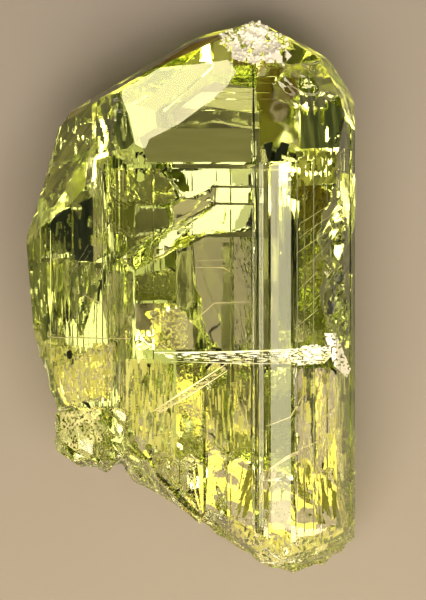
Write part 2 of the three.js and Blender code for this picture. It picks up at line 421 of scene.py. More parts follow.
@dataclass(frozen=True)
class Crack:
    """A thin open crack, whose walls mirror what lies to one side of the crystal.

    Args:
        name: what it is called in the log.
        outline: its corners as (x, y) seen from the front, in millimetres.
        depth: height of its middle above the back, in millimetres.
        faces: the direction its upper wall faces, in degrees from +X towards +Y.
        tilt: how far it is tipped that way, in degrees.
        walls: the look of its walls.
        gap: how wide it stands open, in millimetres.
        ragged: how far its edge wanders, in millimetres.
        fine: about the longest edge of its small faces, in millimetres.
        buried: how far below the crystal's surface it ends, in millimetres.
        bends_per_mm: how closely its bends follow one another.
    """

    name: str
    outline: tuple[Flat, ...]
    depth: float
    faces: float
    tilt: float
    walls: Walls
    gap: float = 0.012
    ragged: float = 0.06
    fine: float = 0.22
    buried: float = 0.12
    bends_per_mm: float = 0.45

    def middle(self) -> Flat:
        """Finds the centre of the outline's area.

        Returns:
            The centre, as (x, y).
        """
        twice = x = y = 0.0
        for (x0, y0), (x1, y1) in zip(self.outline, self.outline[1:] + self.outline[:1]):
            part = x0 * y1 - x1 * y0
            twice += part
            x += (x0 + x1) * part
            y += (y0 + y1) * part
        return x / (3 * twice), y / (3 * twice)

    def normal(self) -> Vector:
        """Finds the direction that its upper wall faces.

        Returns:
            The direction, as a unit vector.
        """
        lean, turn = math.radians(self.tilt), math.radians(self.faces)
        flat = math.sin(lean)
        return Vector((flat * math.cos(turn), flat * math.sin(turn), math.cos(lean)))

    def on_plane(self, x: float, y: float) -> Vector:
        """Finds the point of its plane at (x, y).

        Args:
            x: the point's x.
            y: the point's y.

        Returns:
            The point.
        """
        facing = self.normal()
        mx, my = self.middle()
        drop = (facing.x * (x - mx) + facing.y * (y - my)) / facing.z
        return Vector((x, y, self.depth - drop))

    def relief(self, point: Vector) -> float:
        """Finds how far the walls stand off the crack's plane at a point.

        Args:
            point: a point of the plane.

        Returns:
            The distance, in millimetres.
        """
        walls, often = self.walls, self.bends_per_mm
        turn = math.radians(walls.turn)
        along = point.x * math.cos(turn) + point.y * math.sin(turn)
        across = point.y * math.cos(turn) - point.x * math.sin(turn)
        ridge_level = self.depth * LEVELS_PER_MM + self.faces
        bend_level = ridge_level + BENDS_ABOVE
        ridges = noise.noise(Vector((along / walls.length, across / walls.spacing, ridge_level)))
        bend = noise.noise(Vector((point.x * often, point.y * often, bend_level)))
        return ridges * walls.height + bend * walls.wave

    def sheet(self, body: BVHTree) -> bmesh.types.BMesh:
        """Cuts the outline into small faces, trims it to the body, and bends it.

        Args:
            body: the crystal's surface, in millimetres.

        Returns:
            An open sheet, in millimetres.
        """
        flat, tris = small_triangles(self.outline, self.fine)
        sheet = bmesh.new()
        verts = [sheet.verts.new(self.on_plane(*p)) for p in flat]
        for tri in tris:
            sheet.faces.new([verts[i] for i in tri])
        outside = [v for v in sheet.verts if not lies_within(body, v.co, self.buried)]
        bmesh.ops.delete(sheet, geom=outside, context="VERTS")
        corners = [f for f in sheet.faces if all(v.is_boundary for v in f.verts)]
        bmesh.ops.poke(sheet, faces=corners)
        facing = self.normal()
        mx, my = self.middle()
        for vert in sheet.verts:
            start = vert.co.copy()
            if vert.is_boundary:
                inwards = Vector((mx - start.x, my - start.y, 0)).normalized()
                step = unevenness(start, coarse=2.3, fine=6.1, share=0.6)
                vert.co = self.on_plane(*(start + inwards * step * self.ragged).xy)
            vert.co += facing * self.relief(start)
        return sheet

    def add_to(self, mesh: bmesh.types.BMesh, body: BVHTree) -> None:
        """Adds the crack's two walls to the crystal, facing into the gap.

        Args:
            mesh: the crystal's mesh, in metres.
            body: the crystal's surface, in millimetres.
        """
        frost = mesh.faces.layers.float[FaceLayer.FROST.value]
        ribs = mesh.faces.layers.float[FaceLayer.RIBS.value]
        sheet = self.sheet(body)
        push = self.normal() * self.gap / 2
        sides: tuple[dict, dict] = ({}, {})
        for vert in sheet.verts:
            if vert.is_boundary:
                sides[0][vert] = sides[1][vert] = mesh.verts.new(vert.co * MM)
            else:
                sides[0][vert] = mesh.verts.new((vert.co + push) * MM)
                sides[1][vert] = mesh.verts.new((vert.co - push) * MM)
        for face in sheet.faces:
            face.normal_update()
            ring = list(face.verts) if face.normal.dot(push) > 0 else list(face.verts)[::-1]
            for side, order in zip(sides, (ring[::-1], ring)):
                made = mesh.faces.new([side[v] for v in order])
                made[frost] = self.walls.frost
                made[ribs] = self.walls.ribs
                made.smooth = True
        for edge in sheet.edges:
            if edge.is_boundary:
                rim = mesh.edges.get([sides[0][v] for v in edge.verts])
                rim.smooth = False
        sheet.free()


UPPER_FOOT = Walls(90, 0.3, 3, 0.012, wave=0.03, ribs=3)
LOWER_FOOT = Walls(90, 0.3, 3, 0.005, wave=0.015, ribs=0.6)


def upper_sheet(
    number: int, sides: Flat, lows: Flat, depth: float, faces: float, tilt: float, top: float = -3.1
) -> Crack:
    """Makes one of the straight-sided sheets that hang side by side in the upper foot.

    Args:
        number: its place in the row, from the left.
        sides: x of its left and its right side, in millimetres.
        lows: y of its lower end at each of them, in millimetres.
        depth: height of its middle above the back, in millimetres.
        faces: the direction its upper wall faces, in degrees from +X towards +Y.
        tilt: how far it is tipped that way, in degrees.
        top: y of its upper end, in millimetres.

    Returns:
        The sheet.
    """
    (left, right), (low_left, low_right) = sides, lows
    outline = ((left, top), (right, top), (right, low_right), (left, low_left))
    return Crack(f"upper foot, {number}", outline, depth, faces, tilt, UPPER_FOOT)


CRACKS = (
    Crack(
        "level plate, upper",
        ((-1.4, 6), (2.9, 6), (2.9, 5.2), (1, 5.2), (0.6, 4.6), (-0.5, 4.6), (-1, 5.4)),
        depth=4.9, faces=3, tilt=38.5,
        walls=Walls(0, 0.25, 4, 0.005, wave=0.01, ribs=0.5),
    ),
    Crack(
        "level plate, lower",
        ((1, 5.1), (2.9, 5.1), (2.9, 4.4), (1.3, 4.4), (0.6, 4.5), (0, 4.6)),
        depth=4.1, faces=355, tilt=42,
        walls=Walls(10, 0.3, 3, 0.006, wave=0.02, ribs=0.2),
    ),
    Crack(
        "tan plate",
        ((-0.5, 4.6), (0.6, 4.5), (1.2, 4.4), (-0.8, 3.3), (-1, 4.2)),
        depth=6.1, faces=341, tilt=44.5,
        walls=Walls(30, 0.3, 3, 0.004, wave=0.01, ribs=0.1, frost=0.05),
    ),
    Crack(
        "green block, upper",
        (
            (-3.7, 6), (-1.5, 6), (-1, 5.4), (-0.6, 4.6), (-1.1, 4.3), (-2.6, 4.2), (-2.7, 2.7),
            (-3.7, 3),
        ),
        depth=6.5, faces=69, tilt=38.5,
        walls=Walls(90, 0.25, 1.2, 0.012, wave=0.05, ribs=5),
    ),
    Crack(
        "green block, lower",
        ((-2.6, 4.2), (-1.1, 4.2), (-0.9, 3.3), (-2.6, 2.4)),
        depth=4.3, faces=358, tilt=45,
        walls=Walls(90, 0.25, 1.2, 0.008, wave=0.03, ribs=5),
    ),
    Crack(
        "green column",
        ((-4.5, 6.4), (-3.8, 6.1), (-3.7, 2.8), (-3.5, 2), (-4.5, 1.6)),
        depth=6.8, faces=20, tilt=47,
        walls=Walls(90, 0.25, 2.5, 0.012, wave=0.03, ribs=5),
    ),
    Crack(
        "slanting plate",
        (
            (-3.4, 1.8), (-2.7, 2.3), (-0.8, 3.3), (1.2, 4.3), (2.9, 4.3), (2.9, 3.1),
            (0.7, 2.9), (0, 2.6), (-1.2, 1.9), (-2.6, 1.2), (-3.1, 1.6),
        ),
        depth=5.4, faces=345, tilt=38.5,
        walls=Walls(30, 0.4, 2, 0.006, wave=0.03, ribs=0.2),
    ),
    Crack(
        "dark cluster, left",
        ((-5.9, 1.6), (-4.5, 1.6), (-3.6, 1.6), (-4.1, -0.2), (-5, -2), (-5.9, -1.6), (-5.6, -0.2)),
        depth=6.8, faces=13, tilt=43,
        walls=Walls(50, 0.25, 3, 0.02, wave=0.05, ribs=0.6),
    ),
    Crack(
        "olive block",
        ((-2.6, 1), (-0.7, 1.4), (-0.7, -0.2), (-2.6, -0.2)),
        depth=7.2, faces=72, tilt=46,
        walls=Walls(90, 0.3, 1.5, 0.006, wave=0.03, ribs=3),
    ),
    Crack(
        "brown block",
        ((-0.7, 2.2), (0, 2.4), (0.2, -0.2), (-0.2, -0.7), (-0.7, -0.4)),
        depth=5.1, faces=19, tilt=45,
        walls=Walls(90, 0.3, 1.5, 0.004, wave=0.02, ribs=0.3, frost=0.05),
    ),
    Crack(
        "middle column",
        ((-3.5, 1.6), (-2.7, 1.1), (-2.7, -4.9), (-3.2, -4.9), (-4, -0.3)),
        depth=6.9, faces=21, tilt=41.5,
        walls=Walls(90, 0.2, 2.5, 0.012, wave=0.04, ribs=5),
    ),
    Crack(
        "glitter",
        ((-2.6, -0.3), (-0.7, -0.3), (-0.1, -1), (0.4, -1.6), (0.2, -2.5), (-2.6, -2.5)),
        depth=5.6, faces=247, tilt=43,
        walls=Walls(60, 0.3, 0.5, 0.03, wave=0.05, ribs=0.5),
    ),
    Crack(
        "window, lower",
        (
            (0.2, 1.6), (0.1, 2.5), (0.7, 2.8), (2, 2.8), (2, -2.6), (0.8, -2.6), (0.5, -1.3),
            (0.3, -0.3),
        ),
        depth=6, faces=24, tilt=46.5,
        walls=Walls(90, 0.5, 5, 0.004, wave=0.02, ribs=0.1, frost=0.06),
    ),
    Crack(
        "column beside the window",
        ((2, 2.8), (2.9, 2.8), (2.9, -2.6), (2, -3.1)),
        depth=5.5, faces=24, tilt=47,
        walls=Walls(90, 0.2, 1.5, 0.012, wave=0.03, ribs=5),
    ),
    Crack(
        "lower left veil",
        ((-6.6, -1.8), (-3.3, -1.8), (-3.3, -4.9), (-5.5, -5), (-6.3, -3.5)),
        depth=7, faces=268, tilt=45,
        walls=Walls(80, 0.3, 0.5, 0.02, wave=0.06, ribs=3),
    ),
    Crack(
        "upper foot, 1",
        ((-3.2, -5), (-2.6, -3.1), (-1.8, -3.1), (-1.8, -7.8), (-2.6, -7)),
        depth=6.5, faces=277, tilt=43,
        walls=Walls(90, 0.3, 2.5, 0.012, wave=0.03, ribs=3),
    ),
    upper_sheet(2, (-1.8, -0.8), (-7.8, -7.3), depth=5.3, faces=292, tilt=41.5),
    upper_sheet(3, (-0.7, 0.6), (-8.2, -8.5), depth=4.4, faces=268, tilt=41.5),
    upper_sheet(4, (0.7, 1.7), (-8.2, -7.8), depth=5.8, faces=268, tilt=43.5),
    upper_sheet(5, (1.8, 2.8), (-8.2, -8.6), depth=4.6, faces=255, tilt=43),
    upper_sheet(6, (3.1, 4.7), (-8.5, -9.1), depth=5.7, faces=97, tilt=38.5, top=-3.3),
    upper_sheet(7, (4.7, 5.7), (-9, -8.6), depth=6.3, faces=343, tilt=46, top=-3.3),
    upper_sheet(8, (5.7, 6.7), (-8.6, -8.9), depth=5.7, faces=334, tilt=43.5, top=-3.3),
    Crack(
        "lower foot, 1",
        ((-1.8, -7.3), (-1.1, -7.1), (-0.5, -7.5), (-0.5, -9.2), (-1.8, -7.9)),
        depth=7.7, faces=272, tilt=40.5, walls=LOWER_FOOT,
    ),
    Crack(
        "lower foot, 2",
        ((-0.5, -7.6), (0, -7.3), (0.6, -7.7), (0.6, -10.3), (-0.5, -9.2)),
        depth=7.4, faces=279, tilt=41.5, walls=LOWER_FOOT,
    ),
    Crack(
        "lower foot, 3",
        ((0.7, -7.3), (1.1, -6.9), (1.7, -7.4), (1.7, -11.2), (0.7, -10.3)),
        depth=6.7, faces=271, tilt=41.5, walls=LOWER_FOOT,
    ),
    Crack(
        "lower foot, 4",
        ((1.7, -7.8), (2.3, -7.4), (2.9, -8), (2.9, -11.7), (2.1, -11.5), (1.7, -11.2)),
        depth=6.6, faces=254, tilt=42, walls=LOWER_FOOT,
    ),
    Crack(
        "lower foot, 5",
        ((3.1, -8.2), (3.9, -7.8), (4.7, -8.3), (4.7, -12), (3.3, -12), (3.1, -11.7)),
        depth=6.4, faces=268, tilt=42, walls=LOWER_FOOT,
    ),
    Crack(
        "lower foot, 6",
        ((4.7, -7.8), (5.3, -7.4), (5.7, -7.9), (5.7, -11.9), (4.7, -12)),
        depth=5.8, faces=276, tilt=41, walls=LOWER_FOOT,
    ),
    Crack(
        "lower foot, 7",
        ((5.7, -8.2), (6.3, -7.8), (7, -8.2), (7, -11.2), (6.1, -11.7), (5.7, -11.8)),
        depth=6.5, faces=278, tilt=41, walls=LOWER_FOOT,
    ),
    Crack(
        "right end of the healed crack",
        ((6.1, -2), (6.7, -1.9), (7.5, -3.1), (7.5, -3.6), (6.9, -3.6)),
        depth=7.7, faces=33, tilt=40,
        walls=Walls(0, 0.15, 0.5, 0.004, wave=0.015, ribs=0.1),
    ),
    Crack(
        "right column",
        ((3.8, 5.9), (6.5, 5.9), (6.6, -2.3), (4.7, -2.4), (4.7, 4.5), (3.8, 4.8)),
        depth=4.1, faces=131, tilt=38.5,
        walls=Walls(50, 0.3, 1, 0.02, wave=0.05, ribs=3),
    ),
    Crack(
        "glassy lumps",
        ((3.1, 10.4), (5, 10.6), (5, 6.4), (3.1, 6.2)),
        depth=4.9, faces=141, tilt=50.5,
        walls=Walls(20, 0.5, 0.8, 0.03, wave=0.1, ribs=0.2, frost=0.1),
    ),
    Crack(
        "ledge veil",
        ((-5.9, -5.4), (-3.2, -5.1), (-3.1, -7.2), (-4.1, -7.6), (-4.8, -7.2), (-5.7, -7.3)),
        depth=3.8, faces=160, tilt=48.5,
        walls=Walls(80, 0.4, 0.6, 0.03, wave=0.06, ribs=0.4, frost=0.25),
    ),
)


# ---- The crystal ----


@dataclass(frozen=True)
class Terrace:
    """A growth terrace on the front slope, a little less steep than the slope itself.

    Args:
        outline: its corners as (x, y) seen from the front, in millimetres.
        slope: the front slope's steepness in degrees.
        top: (y, z) of the slope's upper edge, in millimetres.
        ease: how many degrees less steep the terrace is.
        root: how deep its block reaches below the slope, in millimetres.
        lip: how far past its lowest corner, towards -Y, it meets the slope, in millimetres.
    """

    outline: tuple[Flat, ...]
    slope: float = 35.0
    top: Flat = (6.1, 8.8)
    ease: float = 3.0
    root: float = 0.4
    lip: float = 0.05

    def block(self) -> bpy.types.Object:
        """Builds the block whose upper face is the terrace.

        Returns:
            A closed solid, in metres, that isn't in the scene yet.
        """
        start = min(y for _, y in self.outline) - self.lip
        steep = math.tan(math.radians(self.slope))
        gain = steep - math.tan(math.radians(self.slope - self.ease))
        ground = [self.top[1] - (y - self.top[0]) * steep for _, y in self.outline]
        rise = [gain * (y - start) for _, y in self.outline]
        solid = bmesh.new()
        lower = [
            solid.verts.new((x * MM, y * MM, (z - self.root) * MM))
            for (x, y), z in zip(self.outline, ground)
        ]
        upper = [
            solid.verts.new((x * MM, y * MM, (z + up) * MM))
            for (x, y), z, up in zip(self.outline, ground, rise)
        ]
        solid.faces.new(lower)
        solid.faces.new(upper[::-1])
        count = len(lower)
        for i in range(count):
            j = (i + 1) % count
            solid.faces.new((lower[i], upper[i], upper[j], lower[j]))
        bmesh.ops.recalc_face_normals(solid, faces=solid.faces)
        return bpy.data.objects.new("terrace", as_data(solid, "terrace"))

    def joined_to(self, node: bpy.types.Object) -> bpy.types.Mesh:
        """Joins the terrace to a solid.

        Args:
            node: the solid, which stays as it is.

        Returns:
            The joined mesh.
        """
        block = self.block()
        base = bpy.data.objects.new("base", node.data.copy())
        for item in (block, base):
            bpy.context.scene.collection.objects.link(item)
        join = base.modifiers.new("join", "BOOLEAN")
        join.operation = "UNION"
        join.solver = "EXACT"
        join.object = block
        joined = applied(base)
        for item in (block, base):
            bpy.data.objects.remove(item, do_unlink=True)
        return joined


GLEAM = Terrace(
    (
        (-3.24, 9.33), (-3.15, 9.7), (-1.46, 10.74), (0.42, 10.93), (1.74, 11.12),
        (2.12, 10.55), (1.65, 9.8), (1.08, 9.24), (0.42, 8.77), (-0.52, 8.06), (-1.93, 7.31),
        (-2.12, 6.84), (-2.58, 7.07), (-2.87, 8.39),
    )
)


@dataclass
class Crystal:
    """The crystal's looks, built on a copy of its CAD solid.

    Args:
        finish: its material.
        cracks: cracks inside it.
        terrace: the growth terrace on its front slope.
        weld: corners nearer to each other than this are made one, in millimetres.
        facet: longest edge, in millimetres, of a facet that counts as broken.
        end_on: a growth face turned this far towards +Y or -Y, or more, has no ribs.
        cuts: how many times each edge of a broken facet is cut.
        glaze: rounds of smoothing that melt the broken facets together.
        crumble: height in millimetres of the fine roughness on breaks.
        sugar_from: the chipped peak is crumbly beyond this y, in millimetres.
        sugar_crumble: how many times coarser the crumbly part is.
        sugar_frost: roughness of its surface.
        dressed: its mesh without the cracks, once it is built.
    """

    finish: CrystalFinish
    cracks: tuple[Crack, ...] = CRACKS
    terrace: Terrace = GLEAM
    weld: float = 0.0005
    facet: float = 1.15
    end_on: float = 0.2
    cuts: int = 2
    glaze: int = 5
    crumble: float = 0.02
    sugar_from: float = 10.3
    sugar_crumble: float = 3
    sugar_frost: float = 0.25
    dressed: bpy.types.Mesh | None = field(default=None, init=False)

    def build(self) -> BVHTree:
        """Builds the piece and stands it in for its CAD node.

        Returns:
            Its surface without the cracks, in millimetres.
        """
        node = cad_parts["zoisite_crystal"]
        mesh = bmesh.new()
        mesh.from_mesh(self.terrace.joined_to(node))
        bmesh.ops.remove_doubles(mesh, verts=mesh.verts, dist=self.weld * MM)
        for layer in FaceLayer:
            mesh.faces.layers.float.new(layer.value)
        self._dress_breaks(mesh)
        self.dressed = bpy.data.meshes.new("dressed")
        mesh.to_mesh(self.dressed)
        body = self._surface(mesh)
        for crack in self.cracks:
            crack.add_to(mesh, body)
            log.info("crack: %s", crack.name)
        data = as_data(mesh, "crystal")
        data.materials.append(self.finish.material())
        piece = riding("crystal", data)
        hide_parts("zoisite_crystal")
        return body

    def break_between(self, low: Point, high: Point, lift: float) -> bpy.types.Mesh:
        """Copies the broken faces inside a box.

        Args:
            low: the box's lowest corner, in millimetres.
            high: its highest corner, in millimetres.
            lift: how far above the surface the copy lies, in millimetres.

        Returns:
            The copied faces, in metres.
        """
        whole, part = bmesh.new(), bmesh.new()
        whole.from_mesh(self.dressed)
        frost = whole.faces.layers.float[FaceLayer.FROST.value]
        for face in whole.faces:
            middle = face.calc_center_median() / MM
            broken = face.smooth or face[frost] > 0
            if broken and all(a < m < b for a, m, b in zip(low, middle, high)):
                part.faces.new([part.verts.new(v.co + face.normal * lift * MM) for v in face.verts])
        whole.free()
        return as_data(part, "break")

    @staticmethod
    def _surface(mesh: bmesh.types.BMesh) -> BVHTree:
        """Makes a copy of the crystal's surface to test points against.

        Args:
            mesh: the crystal's mesh, in metres.

        Returns:
            The surface, in millimetres.
        """
        corners = [v.co / MM for v in mesh.verts]
        mesh.verts.index_update()
        return BVHTree.FromPolygons(corners, [[v.index for v in f.verts] for f in mesh.faces])

    def _dress_breaks(self, mesh: bmesh.types.BMesh) -> None:
        """Tells breaks from growth faces, and gives the breaks their finer shape.

        Args:
            mesh: the crystal's mesh, in metres.
        """
        self._mark_breaks(mesh)
        inner = [e for e in mesh.edges if e.smooth]
        bmesh.ops.subdivide_edges(mesh, edges=inner, cuts=self.cuts, use_grid_fill=True)
        bmesh.ops.triangulate(mesh, faces=[f for f in mesh.faces if len(f.verts) > 3])
        loose = [v for v in mesh.verts if all(f.smooth for f in v.link_faces)]
        glazed = [v for v in loose if not self._is_sugary(v.co)]
        for _ in range(self.glaze):
            bmesh.ops.smooth_vert(
                mesh, verts=glazed, factor=0.5, use_axis_x=True, use_axis_y=True, use_axis_z=True
            )
        mesh.normal_update()
        self._crumble(loose)
        frost = mesh.faces.layers.float[FaceLayer.FROST.value]
        for face in mesh.faces:
            if face.smooth and self._is_sugary(face.calc_center_median()):
                face[frost] = self.sugar_frost
                face.smooth = False

    def _mark_breaks(self, mesh: bmesh.types.BMesh) -> None:
        """Makes the broken facets smooth, and gives the growth faces their ribs.

        Args:
            mesh: the crystal's mesh, in metres.
        """
        ribs = mesh.faces.layers.float[FaceLayer.RIBS.value]
        for face in mesh.faces:
            face.smooth = max(e.calc_length() for e in face.edges) < self.facet * MM
            face[ribs] = 1.0 if not face.smooth and abs(face.normal.y) < self.end_on else 0.0
        for edge in mesh.edges:
            edge.smooth = all(f.smooth for f in edge.link_faces)

    def _crumble(self, loose: Iterable[bmesh.types.BMVert]) -> None:
        """Roughens the breaks, inwards.

        Args:
            loose: the corners inside the breaks.
        """
        for vert in loose:
            bump = unevenness(vert.co / MM, coarse=4, fine=11, share=0.5)
            coarser = self.sugar_crumble if self._is_sugary(vert.co) else 1
            vert.co -= vert.normal * bump * self.crumble * coarser * MM

    def _is_sugary(self, place: Vector) -> bool:
        """Whether a place is on the crumbly peak.

        Args:
            place: the place, in metres.

        Returns:
            True if it is.
        """
        return place.y >= self.sugar_from * MM


# ---- Films, needles and chips, with painted shade and painted light ----

# The noise that makes holes in films lies between this and its opposite, nearly always.
LOWEST_NOISE = -0.5


@dataclass(frozen=True)
class Film:
    """A thin film that follows the front surface; some are foreign matter and healed cracks, others
    painted shade and painted light.

    Args:
        outline: its corners as (x, y) seen from the front, in millimetres.
        under: how far below the surface it lies, in millimetres, or above it if negative.
        fine: about the longest edge of its small faces, in millimetres.
        gaps: how much of it is missing, from 0 to about 1.
        hole: width and length of a hole in it, in millimetres.
    """

    outline: tuple[Flat, ...]
    under: float = 0.3
    fine: float = 0.3
    gaps: float = 0.0
    hole: Flat = (0.25, 0.75)

    @classmethod
    def stroke(cls, *way: Flat, width: float, under: float = 0.3, tip: float = 0.3) -> "Film":
        """Makes a narrow film with pointed ends.

        Args:
            way: the points along its middle, in millimetres.
            width: its greatest width, in millimetres.
            under: how far below the surface it lies, in millimetres.
            tip: how wide its ends are, as a share of its greatest width.

        Returns:
            The film.
        """
        points = [Vector(p) for p in way]
        last = len(points) - 1
        left, right = [], []
        for i, point in enumerate(points):
            ahead = points[min(i + 1, last)] - points[max(i - 1, 0)]
            side = Vector((-ahead.y, ahead.x)).normalized()
            half = width / 2 * (tip if i in (0, last) else 1.0)
            left.append(tuple(point + side * half))
            right.append(tuple(point - side * half))
        return cls(tuple(right + left[::-1]), under)

    def add_to(self, mesh: bmesh.types.BMesh, body: BVHTree) -> None:
        """Adds the film to a mesh.

        Args:
            mesh: the mesh of films, in metres.
            body: the crystal's surface, in millimetres.
        """
        above, down = 20.0, Vector((0, 0, -1))
        flat, tris = small_triangles(self.outline, self.fine)
        verts = []
        for x, y in flat:
            hit = body.ray_cast(Vector((x, y, above)), down)[0]
            level = hit.z - self.under if hit else None
            verts.append(mesh.verts.new((x * MM, y * MM, level * MM)) if hit else None)
        for tri in tris:
            corners = [verts[i] for i in tri]
            middle = sum((flat[i] for i in tri), Vector((0, 0))) / 3
            spot = noise.noise(Vector((middle.x / self.hole[0], middle.y / self.hole[1], 0.0)))
            if all(corners) and (not self.gaps or spot > self.gaps + LOWEST_NOISE):
                mesh.faces.new(corners)


def film_mesh(films: Iterable[Film], body: BVHTree) -> bpy.types.Mesh:
    """Joins films in one mesh.

    Args:
        films: the films.
        body: the crystal's surface, in millimetres.

    Returns:
        The mesh, in metres.
    """
    mesh = bmesh.new()
    for film in films:
        film.add_to(mesh, body)
    return as_data(mesh, "films")


@dataclass(frozen=True)
class Films:
    """Films of one kind, joined in one piece.

    Args:
        name: the piece's name.
        finish: their material.
        films: the films.
    """

    name: str
    finish: PlainFinish
    films: tuple[Film, ...]

    def build(self, body: BVHTree) -> None:
        """Builds the piece.

        Args:
            body: the crystal's surface, in millimetres.
        """
        data = film_mesh(self.films, body)
        data.materials.append(self.finish.material())
        riding(self.name, data)


@dataclass(frozen=True)
class Chips:
    """Small angular chips strewn over a film or a break, built with Geometry Nodes.

    Args:
        name: the piece's name.
        finish: their material.
        size: the largest chip's radius, in millimetres.
        per_mm2: how many lie on a square millimetre.
        seed: picks another arrangement.
        smallest: a chip's least width, as a share of the largest.
        thickest: a chip's greatest thickness, as a share of the largest width.
    """

    name: str
    finish: PlainFinish
    size: float
    per_mm2: float
    seed: int
    smallest: float = 0.35
    thickest: float = 0.6

    def strew(self, ground: bpy.types.Mesh) -> None:
        """Strews the chips over a mesh, which doesn't stay.

        Args:
            ground: the mesh that they lie on, in metres.
        """
        base = bpy.data.objects.new("ground", ground)
        bpy.context.scene.collection.objects.link(base)
        work = base.modifiers.new("chips", "NODES")
        work.node_group = self._nodes()
        values = {
            "Density": self.per_mm2 / MM**2,
            "Size": self.size * MM,
            "Seed": self.seed,
            "Material": self.finish.material(),
        }
        for item in work.node_group.interface.items_tree:
            if item.in_out == "INPUT" and item.name in values:
                work[item.identifier] = values[item.name]
        data = applied(base)
        bpy.data.objects.remove(base, do_unlink=True)
        riding(self.name, data)

    def _nodes(self) -> bpy.types.NodeTree:
        """Builds the node group that strews the chips.

        Returns:
            The group.
        """
        group = self._empty_group()
        add, link = group.nodes.new, group.links.new
        given, result = add("NodeGroupInput"), add("NodeGroupOutput")
        strew, chip = add("GeometryNodeDistributePointsOnFaces"), add("GeometryNodeMeshIcoSphere")
        turn, scale = add("FunctionNodeRandomValue"), add("FunctionNodeRandomValue")
        place = add("GeometryNodeInstanceOnPoints")
        whole, dress = add("GeometryNodeRealizeInstances"), add("GeometryNodeSetMaterial")
        chip.inputs["Subdivisions"].default_value = 1
        turn.data_type = scale.data_type = "FLOAT_VECTOR"
        turn.inputs["Max"].default_value = (math.tau, math.tau, math.tau)
        scale.inputs["Min"].default_value = (self.smallest, self.smallest, self.smallest)
        scale.inputs["Max"].default_value = (1.0, 1.0, self.thickest)
        link(given.outputs["Ground"], strew.inputs["Mesh"])
        link(given.outputs["Density"], strew.inputs["Density"])
        link(given.outputs["Size"], chip.inputs["Radius"])
        for user in (strew, turn, scale):
            link(given.outputs["Seed"], user.inputs["Seed"])
        link(strew.outputs["Points"], place.inputs["Points"])
        link(chip.outputs["Mesh"], place.inputs["Instance"])
        link(turn.outputs["Value"], place.inputs["Rotation"])
        link(scale.outputs["Value"], place.inputs["Scale"])
        link(place.outputs["Instances"], whole.inputs["Geometry"])
        link(whole.outputs["Geometry"], dress.inputs["Geometry"])
        link(given.outputs["Material"], dress.inputs["Material"])
        link(dress.outputs["Geometry"], result.inputs["Chips"])
        return group

    def _empty_group(self) -> bpy.types.NodeTree:
        """Builds a node group with its inputs and its output, and nothing between them.

        Returns:
            The group.
        """
        group = bpy.data.node_groups.new(f"{self.name}_nodes", "GeometryNodeTree")
        inputs = {
            "Ground": "Geometry", "Density": "Float", "Size": "Float", "Seed": "Int",
            "Material": "Material",
        }
        for title, kind in inputs.items():
            group.interface.new_socket(title, in_out="INPUT", socket_type=f"NodeSocket{kind}")
        group.interface.new_socket("Chips", in_out="OUTPUT", socket_type="NodeSocketGeometry")
        return group


# Dark needles and flecks, with painted shade among them.
DARK_FILMS = (
    # Painted shade over the dark left side, in two patches.
    Film(((-6.6, 3.3), (-6.2, 3.8), (-5.5, 4.2), (-5.5, 1.9), (-5.9, 2.4)), fine=0.12, gaps=0.2),
    Film(
        ((-5.4, 4.25), (-4.5, 4.65), (-4.45, 1.65), (-5.2, 1.65), (-5.4, 1.8)), fine=0.12, gaps=0.25
    ),
    # Painted shade on the dark patch at the upper right.
    Film(
        ((3.35, 7.0), (3.95, 7.2), (4.75, 7.0), (4.65, 6.3), (3.6, 6.15)), fine=0.1, gaps=0.45
    ),
    # Painted shade: a dark line along a facet edge near x = 3, in three strokes.
    Film.stroke((2.91, 11.0), (2.93, 8.5), (2.96, 6.2), width=0.1, under=0.05),
    Film.stroke((2.98, 6.0), (3.05, 4.0), (3.1, 2.2), (3.07, -1.6), width=0.1, under=0.05),
    Film.stroke((2.8, 3.2), (2.85, 1.0), (2.85, -0.8), width=0.06, under=0.05),
    # Dark needles and flecks.
    Film.stroke((0.3, -5.95), (0.55, -6.05), (0.75, -6.1), width=0.09),
    Film.stroke((0.4, -6.15), (1.0, -6.4), (1.75, -7.3), width=0.08),
    Film.stroke((1.27, -7.45), (1.65, -7.75), width=0.08),
    Film.stroke((-1.9, -6.45), (-1.3, -6.4), width=0.06),
    Film.stroke((-5.0, -4.9), (-4.75, -5.0), (-4.5, -5.3), width=0.17),
    Film.stroke((6.35, -0.1), (6.5, -0.45), (6.45, -0.8), (6.3, -0.75), width=0.3),
    Film.stroke((6.55, 0.3), (6.9, 0.9), (7.35, 1.4), width=0.16),
    Film.stroke((6.45, 0.0), (6.7, 0.55), (7.1, 0.95), width=0.1),
    Film.stroke((-5.85, -2.75), (-5.65, -2.6), (-5.4, -3.0), (-5.5, -3.15), width=0.35),
)
# Painted shade over the dark green left side and two places near the top.
DARK_GREEN_SHADE_FILMS = (
    Film(((5.1, 9.4), (6.15, 9.3), (7.15, 8.7), (7.45, 6.9), (5.1, 6.8)), fine=0.12, gaps=0.28),
    Film(
        ((-4.4, 9.2), (-3.3, 9.5), (-2.95, 8.4), (-2.65, 7.1), (-2.95, 6.8), (-4.35, 6.6)),
        fine=0.12, gaps=0.4,
    ),
    Film(
        ((-7.5, 1.6), (-6.7, 1.6), (-6.6, -0.2), (-6.45, -1.9), (-6.85, -2.1), (-7.3, -0.2)),
        fine=0.1, gaps=0.32, hole=(0.12, 0.5),
    ),
    Film(
        ((-5.6, 1.6), (-4.4, 1.6), (-4.35, 0.2), (-5.0, -1.8), (-5.5, -1.2)),
        fine=0.1, gaps=0.45, hole=(0.12, 0.5),
    ),
    Film(
        ((-6.4, 2.2), (-5.3, 1.5), (-5.6, 3.6), (-6.3, 3.4)),
        fine=0.1, gaps=0.45, hole=(0.12, 0.5),
    ),
)
